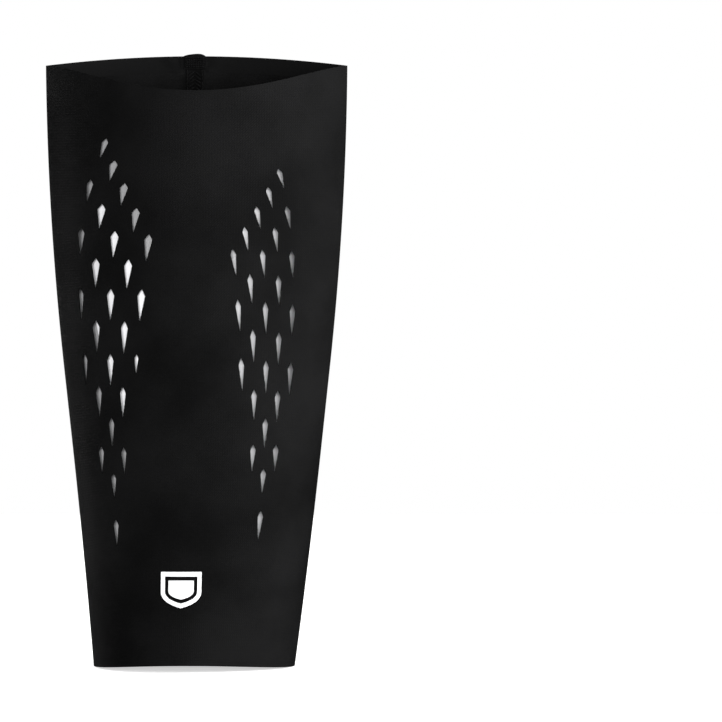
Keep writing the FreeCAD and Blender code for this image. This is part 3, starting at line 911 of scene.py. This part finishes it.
def rim_fold():
    """Seam end folded over the rim: a soft loop from outside to inside."""
    # Inset from the outer face and height over the rim, from inside to outside.
    under = [(1.4, -6.5), (1.5, -4.0), (1.5, -1.0), (1.2, 0.8), (0.6, 1.45), (0.1, 1.3),
             (-0.2, 0.4)]
    over = [(2.3, -6.5), (2.5, -4.0), (2.4, -1.0), (2.0, 0.6), (1.2, 1.5), (0.1, 1.5),
            (-0.45, 0.2)]
    columns = 12
    verts = []
    for j in range(columns + 1):
        x = SEAM_X - FOLD_HALF + 2.0 * FOLD_HALF * j / columns
        s = 2.0 * j / columns - 1.0
        # The loop is lower at its two ends and a little uneven between them.
        ease = 0.70 - 0.60 * abs(s) ** 4 + 0.14 * math.sin(2.6 * s + 0.5)
        for inset, rise in under + over[::-1]:
            verts.append(back_at(x, RIM_BACK + rise * (ease if rise > 0 else 1.0), inset))
    faces = ring_faces(0, columns + 1, len(under + over))
    piece = new_object("seam_fold_top", verts, faces, 60.0)
    paint(piece, TAPE)
    return piece


def tack_rows(name, heights, inset):
    """Rows of short stitches side by side, one row at each height."""
    stitches = 8
    pitch = 1.25
    length = 1.35
    paths = []
    for z in heights:
        for i in range(stitches):
            x0 = SEAM_X - 0.5 * stitches * pitch + i * pitch
            paths.append(arched(5, 0.3, lambda s, lift: back_at(
                x0 + length * s, z, inset + lift)))
    return tubes(name, paths, 0.36)


# ---- pocket ----
def liner_shape(z):
    """Half width, depth and how pointed the liner is at this height."""
    start = smooth((z - POCKET_BOTTOM) / LINER_START)
    near = FRONT_DEPTH - WALL - LINER_PLAY
    depth = near + (LINER_RIDGE - near) * start
    power = LINER_POINTED
    for gain, low, rise in LINER_POINTED_GAINS:
        power += gain * smooth((z - low) / rise)
    half = half_width(z) - WALL * (1.0 + z / HEIGHT) - LINER_PLAY
    return half, depth, power


def liner_point(t, z, shift):
    """Like wall_point: shift is the distance behind the liner's front face."""
    half, depth, power = liner_shape(z)
    c = max(math.cos(t), 0.0)
    rise = (depth - LINER_ROUND) * c ** (2.0 * power) + LINER_ROUND * c
    x = half * math.sin(t) + CROWN_X * c * c
    clear = LINER_CLEAR * smooth(c / FOLD_FADE) * smooth((z - POCKET_BOTTOM) / LINER_START)
    return mm(x, FOLD_Y - rise + shift + clear, z)


def pocket_liner_cloth():
    half = math.pi / 2.0 * UNROLL
    return cloth_piece(
        "pocket_liner_cloth", LINING, rectangle(-half, half, POCKET_BOTTOM, POCKET_MOUTH), [],
        (GRID, GRID),
        lambda u, z: liner_point(u / UNROLL, z, 0.0),
        lambda u, z: liner_point(u / UNROLL, z, LINER_T))


def mouth_binding_cloth():
    limit = BINDING_REACH * UNROLL
    top = POCKET_MOUTH - BINDING_DROP
    low = top - BINDING_W
    ribs = 2.0
    piece = cloth_piece(
        "mouth_binding_elastic", TAPE, rectangle(-limit, limit, low, top), [], (GRID, 2.0),
        lambda u, z: liner_point(u / UNROLL, z, LINER_T),
        lambda u, z: liner_point(u / UNROLL, z, LINER_T + BINDING_T + 0.1 * math.sin(u * ribs)))
    pitch = 2.55
    length = 1.9
    paths = []
    for z in (low + 1.2, low + 6.6):
        for i in range(34):
            u = -limit + 1.0 + i * pitch
            paths.append(arched(4, 0.15, lambda s, lift: liner_point(
                (u + length * s) / UNROLL, z, LINER_T + 0.55 + lift)))
    return piece, tubes("mouth_binding_stitch", paths, 0.18)


def side_seam_cloth(side):
    """Folded seam allowance between the wall and the liner, at the fold."""
    rows = 78
    corners = 8
    verts = []
    for i in range(rows + 1):
        z = POCKET_BOTTOM + (POCKET_MOUTH - POCKET_BOTTOM) * i / rows
        reach = half_width(z) - (1.0 + z / HEIGHT)
        t_in = math.asin(min((reach - SIDE_SEAM_W) / reach, SINE_LIMIT))
        t_out = math.pi / 2.0 - SIDE_SEAM_CLEAR
        wall_in = wall_point(side * t_in, z, WALL)
        wall_mid = wall_point(side * (t_in * 0.5 + 0.25 * math.pi), z, WALL)
        wall_out = wall_point(side * t_out, z, WALL)
        liner_in = liner_point(side * t_in, z, 0.0)
        liner_out = liner_point(side * t_out, z, 0.0)
        mid = (wall_in + liner_in) * 0.5
        # The free edge is a little uneven.
        mid.x -= side * (0.4 + 0.07 * math.sin(i * 1.3)) * MM
        verts += [wall_in, mid, liner_in, (liner_in + liner_out) * 0.5, liner_out,
                  (liner_out + wall_out) * 0.5, wall_out, wall_mid]
    tag = "left" if side < 0 else "right"
    piece = new_object("pocket_seam_" + tag, verts, ring_faces(0, rows + 1, corners), 50.0)
    paint(piece, TAPE)
    return piece


def bottom_seam_cloth():
    limit = 1.18 * UNROLL
    return cloth_piece(
        "pocket_seam_bottom", TAPE, rectangle(-limit, limit, POCKET_BOTTOM, POCKET_SEAM_TOP),
        [], (GRID, 2.0),
        lambda u, z: wall_point(u / UNROLL, z, WALL),
        lambda u, z: liner_point(u / UNROLL, z, 0.0))


# ---- plate layers ----
def plate_outline(inset):
    """Shield outline in flat x, z, with a smooth curve through its points."""
    pts = PLATE_EDGE
    side = []
    for i in range(len(pts) - 1):
        p0 = pts[max(i - 1, 0)]
        p1 = pts[i]
        p2 = pts[i + 1]
        p3 = pts[min(i + 2, len(pts) - 1)]
        count = max(2, round(math.dist(p1, p2) / GRID))
        for k in range(count):
            t = k / count
            q = []
            for a, b, c, d in zip(p0, p1, p2, p3):
                q.append(0.5 * (2 * b + (c - a) * t + (2 * a - 5 * b + 4 * c - d) * t * t
                                + (3 * b - a - 3 * c + d) * t ** 3))
            side.append(q)
    side.append(pts[-1])
    top_w, top_z = pts[-1]
    shares = [1 - k / 8.0 for k in range(1, 8)]
    top = [(top_w * t, top_z + (PLATE_TOP - top_z) * (1.0 - t ** 2)) for t in shares]
    right = [(w, z) for w, z in side] + top
    corner, low = pts[0]
    # The bottom edge has points of its own, so that it follows the curve.
    bottom = [(corner * (k / 9.0 - 1.0), low) for k in range(1, 18)]
    loop = right + [(-w, z) for w, z in right[::-1]] + bottom
    mid = (low + PLATE_TOP) / 2.0
    half_height = (PLATE_TOP - low) / 2.0
    sx = (PLATE_HALF - inset) / PLATE_HALF
    sz = (half_height - inset) / half_height
    return [(w * sx, mid + (z - mid) * sz) for w, z in loop]


def vent_slots():
    lows = [VENT_START + i * VENT_STEP for i in range(VENT_ROWS)]
    half = VENT_W / 2.0
    return [rectangle(-half, half, low, low + VENT_H, half) for low in lows]


def plate_point(x, z, depth):
    """Point on the curved plate, depth mm behind its outer face."""
    angle = math.asin(x / PLATE_RADIUS)
    r = PLATE_RADIUS - depth
    return mm(CROWN_X + r * math.sin(angle), PLATE_Y - r * math.cos(angle), z)


def plate_foam_pad():
    outline = plate_outline(FOAM_INSET)

    def edge_round(x, z):
        d = min(edge_distance(outline, (x, z)), FOAM_ROUND) / FOAM_ROUND
        return FOAM_ROUND_DEPTH * (1.0 - math.sqrt(max(0.0, 1.0 - (1.0 - d) ** 2)))

    back = SHELL_T + FOAM_T
    return cloth_piece(
        "plate_foam_pad", FOAM, outline, vent_slots(), (2.5, 3.0),
        lambda x, z: plate_point(x, z, SHELL_T + LAYER_GAP + 0.3 * edge_round(x, z)),
        lambda x, z: plate_point(x, z, back - edge_round(x, z)), 50.0)


def plate_backing_cloth():
    back = SHELL_T + FOAM_T
    return cloth_piece(
        "plate_backing_cloth", BACKING, plate_outline(BACKING_INSET), [], (GRID, GRID),
        lambda x, z: plate_point(x, z, back + LAYER_GAP),
        lambda x, z: plate_point(x, z, back + BACKING_T))


# ---- small pieces ----
def shield(w, h):
    """Shield outline round the emblem's middle: straight top, pointed bottom."""
    half = w / 2.0
    top = EMBLEM_Z + h / 2.0
    waist = EMBLEM_Z - h * 0.05
    low = EMBLEM_Z - h / 2.0
    pts = [(EMBLEM_X + half * t, top) for t in (-1.0, -0.5, 0.0, 0.5, 1.0)]
    pts.append((EMBLEM_X + half, (top + waist) / 2))
    for k in range(9):
        t = k / 8.0
        x = half * ((1 - t) ** 2 + 2 * t * (1 - t))
        z = (1 - t) ** 2 * waist + 2 * t * (1 - t) * (EMBLEM_Z - h * 0.35) + t * t * low
        pts.append((EMBLEM_X + x, z))
    return pts + [(2 * EMBLEM_X - x, z) for x, z in pts[5:-1][::-1]]


def emblem():
    """Plain shield with a ring cut out of it, pressed on the knit."""
    ring_hole = shield(EMBLEM_W - 4.0, EMBLEM_H - 4.6)
    core = shield(EMBLEM_W - 7.5, EMBLEM_H - 8.6)
    parts = []
    for name, outline, holes in (
        ("emblem_ring", shield(EMBLEM_W, EMBLEM_H), [ring_hole]),
        ("emblem_core", core, []),
    ):
        parts.append(cloth_piece(
            name, TRANSFER, outline, holes, (1.5, 1.5),
            lambda x, z: front_at(x, z, -EMBLEM_T),
            lambda x, z: front_at(x, z, LAYER_GAP)))
    return parts


def care_label():
    """Label on the inside of the back, sewn on along its top."""
    top = LABEL_LOW + LABEL_H
    piece = back_strip("care_label_cloth", LABEL_LEFT, LABEL_LEFT + LABEL_W, LABEL_LOW, top,
                       WALL + 0.05, WALL + 0.4, LABEL, (2.0, 2.0))
    pitch = 2.0
    length = 1.5
    paths = []
    for i in range(8):
        x0 = LABEL_LEFT + 1.0 + i * pitch
        paths.append(arched(4, 0.12, lambda s, lift: back_at(
            x0 + length * s, top - 2.2, WALL + 0.45 + lift)))
    return piece, tubes("label_stitch_thread", paths, 0.16)


# ---- build and attach ----
def attach(piece, body, slot, *nodes):
    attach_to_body(piece, body)
    if nodes:
        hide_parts(*nodes)


sleeve = knit_sleeve()
attach(sleeve, "sleeve", "knit_black", "sleeve_panel")

attach(hem_band("hem_film_top", True), "sleeve", "film_black", "top_hem_film")
attach(hem_band("hem_film_bottom", False), "sleeve", "film_black", "bottom_hem_film")

tape = back_strip("seam_tape_cloth", SEAM_X - SEAM_HALF, SEAM_X + SEAM_HALF, 1.0, RIM_BACK,
                  WALL + LAYER_GAP, WALL + TAPE_T, TAPE)
attach(tape, "sleeve", "tape_black", "seam_tape")
rail_left = rail_thread("seam_rail_left", x=SEAM_X - 3.9, inset=WALL + 0.45,
                        z0=FOLD_LENGTH, z1=RIM_BACK - FOLD_LENGTH)
attach(rail_left, "sleeve", "thread_black", "seam_rail_thread_left")
rail_right = rail_thread("seam_rail_right", x=SEAM_X + 3.9, inset=WALL + 0.45,
                         z0=FOLD_LENGTH, z1=RIM_BACK - FOLD_LENGTH)
attach(rail_right, "sleeve", "thread_black", "seam_rail_thread_right")
braid = chevron_threads("seam_braid", half=3.5, pitch=1.9, inset=WALL + 0.5, radius=0.42,
                        z0=FOLD_LENGTH, z1=RIM_BACK - 8.0)
attach(braid, "sleeve", "thread_black", "seam_zigzag_thread")
outer_braid = chevron_threads("seam_outer_braid", half=2.3, pitch=2.2, inset=-0.12,
                              radius=0.30, z0=4.0, z1=RIM_BACK - 5.0)
attach(outer_braid, "sleeve", "thread_black", "seam_outer_thread")
fold_top = rim_fold()
attach(fold_top, "sleeve", "tape_black", "seam_top_fold")
fold_bottom = back_strip("seam_fold_bottom", SEAM_X - FOLD_HALF, SEAM_X + FOLD_HALF, 0.2,
                         FOLD_LENGTH, WALL + 0.4, 2.3, TAPE)
attach(fold_bottom, "sleeve", "tape_black", "seam_bottom_fold")
tack_top = tack_rows("tack_top", [RIM_BACK - 5.2 + 1.1 * i for i in range(5)], inset=2.55)
attach(tack_top, "sleeve", "thread_black", "top_bartack")
tack_bottom = tack_rows("tack_bottom", [1.4 + 1.2 * i for i in range(3)], inset=2.4)
attach(tack_bottom, "sleeve", "thread_black", "bottom_bartack")

liner = pocket_liner_cloth()
attach(liner, "sleeve", "lining_black", "pocket_liner")
binding, binding_stitch = mouth_binding_cloth()
attach(binding, "sleeve", "tape_black", "pocket_mouth_binding")
attach(binding_stitch, "sleeve", "thread_black")
seam_left = side_seam_cloth(-1.0)
attach(seam_left, "sleeve", "tape_black", "pocket_side_seam_left")
seam_right = side_seam_cloth(1.0)
attach(seam_right, "sleeve", "tape_black", "pocket_side_seam_right")
seam_bottom = bottom_seam_cloth()
attach(seam_bottom, "sleeve", "tape_black", "pocket_bottom_seam")

emblem_ring, emblem_core = emblem()
attach(emblem_ring, "sleeve", "transfer_white", "emblem_transfer")
attach(emblem_core, "sleeve", "transfer_white")
label, label_thread = care_label()
attach(label, "sleeve", "label_white", "care_label")
attach(label_thread, "sleeve", "thread_black", "label_stitch")

foam = plate_foam_pad()
attach(foam, "plate", "foam_grey", "plate_foam")
backing = plate_backing_cloth()
attach(backing, "plate", "backing_black", "plate_backing")

# CAD nodes whose shape is right keep it and get a finish.
paint(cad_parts["plate_shell"], PLATE)
paint(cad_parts["plate_stripe"], STRIPE)
paint(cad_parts["grip_stripes"], SILICONE)


# ---- stage ----
def floor():
    """White ground plane just below the hem, in metres."""
    half = 1.1
    level = -0.0003
    n = 8
    ticks = [-half + 2 * half * i / n for i in range(n + 1)]
    verts = [Vector((x, y, level)) for x in ticks for y in ticks]
    faces = []
    for i in range(n):
        for j in range(n):
            a = i * (n + 1) + j
            faces.append((a, a + n + 1, a + n + 2, a + 1))
    obj = new_object("stage_floor", verts, faces)
    m = Nodes("floor_white")
    m.set(Base_Color=(0.9, 0.9, 0.9, 1.0), Roughness=0.9, Emission_Color=(1, 1, 1, 1),
          Emission_Strength=0.55)
    paint(obj, m.mat)
    obj.visible_diffuse = False
    obj.visible_glossy = False


def area_light(name, place, target, size, power):
    """Rectangular light at place, aimed at target; metres and watts."""
    data = bpy.data.lights.new(name, "AREA")
    data.shape = "RECTANGLE"
    data.size, data.size_y = size
    data.energy = power
    obj = bpy.data.objects.new(name, data)
    bpy.context.scene.collection.objects.link(obj)
    obj.location = place
    aim = Vector(target) - Vector(place)
    obj.rotation_euler = aim.to_track_quat("-Z", "Y").to_euler()


def camera():
    """Long lens a little above the middle, with room left on the right."""
    elevation = math.radians(2.5)
    target = Vector((0.082, FOLD_Y * MM, 0.1525))
    frame_width = 0.361   # metres seen across the picture at the target
    lens = 300.0
    sensor = 36.0
    distance = frame_width * lens / sensor
    data = bpy.data.cameras.new("camera")
    data.lens = lens
    data.clip_end = 50.0
    obj = bpy.data.objects.new("camera", data)
    bpy.context.scene.collection.objects.link(obj)
    away = Vector((0.0, -math.cos(elevation), math.sin(elevation)))
    obj.location = target + away * distance
    obj.rotation_euler = (-away).to_track_quat("-Z", "Y").to_euler()
    bpy.context.scene.camera = obj


floor()
world = bpy.data.worlds.new("studio")
world.use_nodes = True
sky = world.node_tree.nodes["Background"]
sky.inputs["Color"].default_value = (1.0, 1.0, 1.0, 1.0)
sky.inputs["Strength"].default_value = 1.0
world.cycles_visibility.diffuse = False
world.cycles_visibility.glossy = False
bpy.context.scene.world = world
area_light("key_right", (1.93, -0.52, 0.55), (0.0, 0.0, 0.16), (0.6, 1.0), 96.0)
area_light("fill_front", (-0.1, -2.5, 0.6), (0.0, 0.0, 0.14), (4.2, 1.6), 100.0)
area_light("back_soft", (-1.5, 1.4, 0.9), (0.0, 0.0, 0.16), (1.2, 1.6), 50.0)
area_light("top_soft", (0.2, 0.2, 1.6), (0.0, 0.0, 0.2), (1.0, 1.0), 4.0)
area_light("fill_low", (-0.42, -0.45, 0.05), (-0.05, 0.0, 0.02), (0.25, 0.12), 0.9)
camera()
bpy.context.scene.view_settings.view_transform = "Standard"
